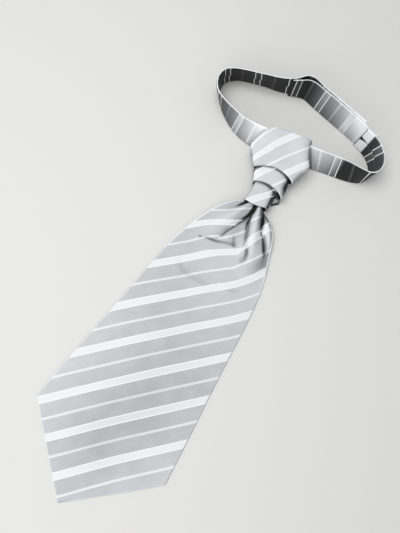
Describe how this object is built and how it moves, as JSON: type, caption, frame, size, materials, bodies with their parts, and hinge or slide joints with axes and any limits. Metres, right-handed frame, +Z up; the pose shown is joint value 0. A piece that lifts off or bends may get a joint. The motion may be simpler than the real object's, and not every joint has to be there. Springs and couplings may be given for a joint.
{
  "type": "ascot tie",
  "caption": "Pre-tied striped satin ascot tie lying flat: a broad pointed blade gathered into a wrapped knot, with its adjustable neckband standing on edge in a loop.",
  "frame": {"origin": "middle of the tie's footprint, on the surface that it lies on", "axes": "+Y from the blade's point up its centre line to the neck loop, +X to the right of the blade seen from above with the point towards the viewer, +Z up"},
  "size_m": [0.1678, 0.427, 0.026],
  "materials": {
    "blade_satin": "silver-grey satin with woven white stripes, one broad and one narrow in turn",
    "knot_satin": "the same striped satin, folded over itself",
    "neckband_satin": "the same striped satin, pressed into a narrow doubled band",
    "tab_satin": "the same striped satin on the band that fastens to the other end"
  },
  "bodies": {
    "root": {"blade": "blade_satin", "knot_upper_wrap": "knot_satin", "knot_middle_wrap": "knot_satin", "knot_lower_wrap": "knot_satin", "knot_tail": "knot_satin", "neckband_left": "neckband_satin", "neckband_right": "neckband_satin", "fastening_tab": "tab_satin"}
  },
  "joints": []
}
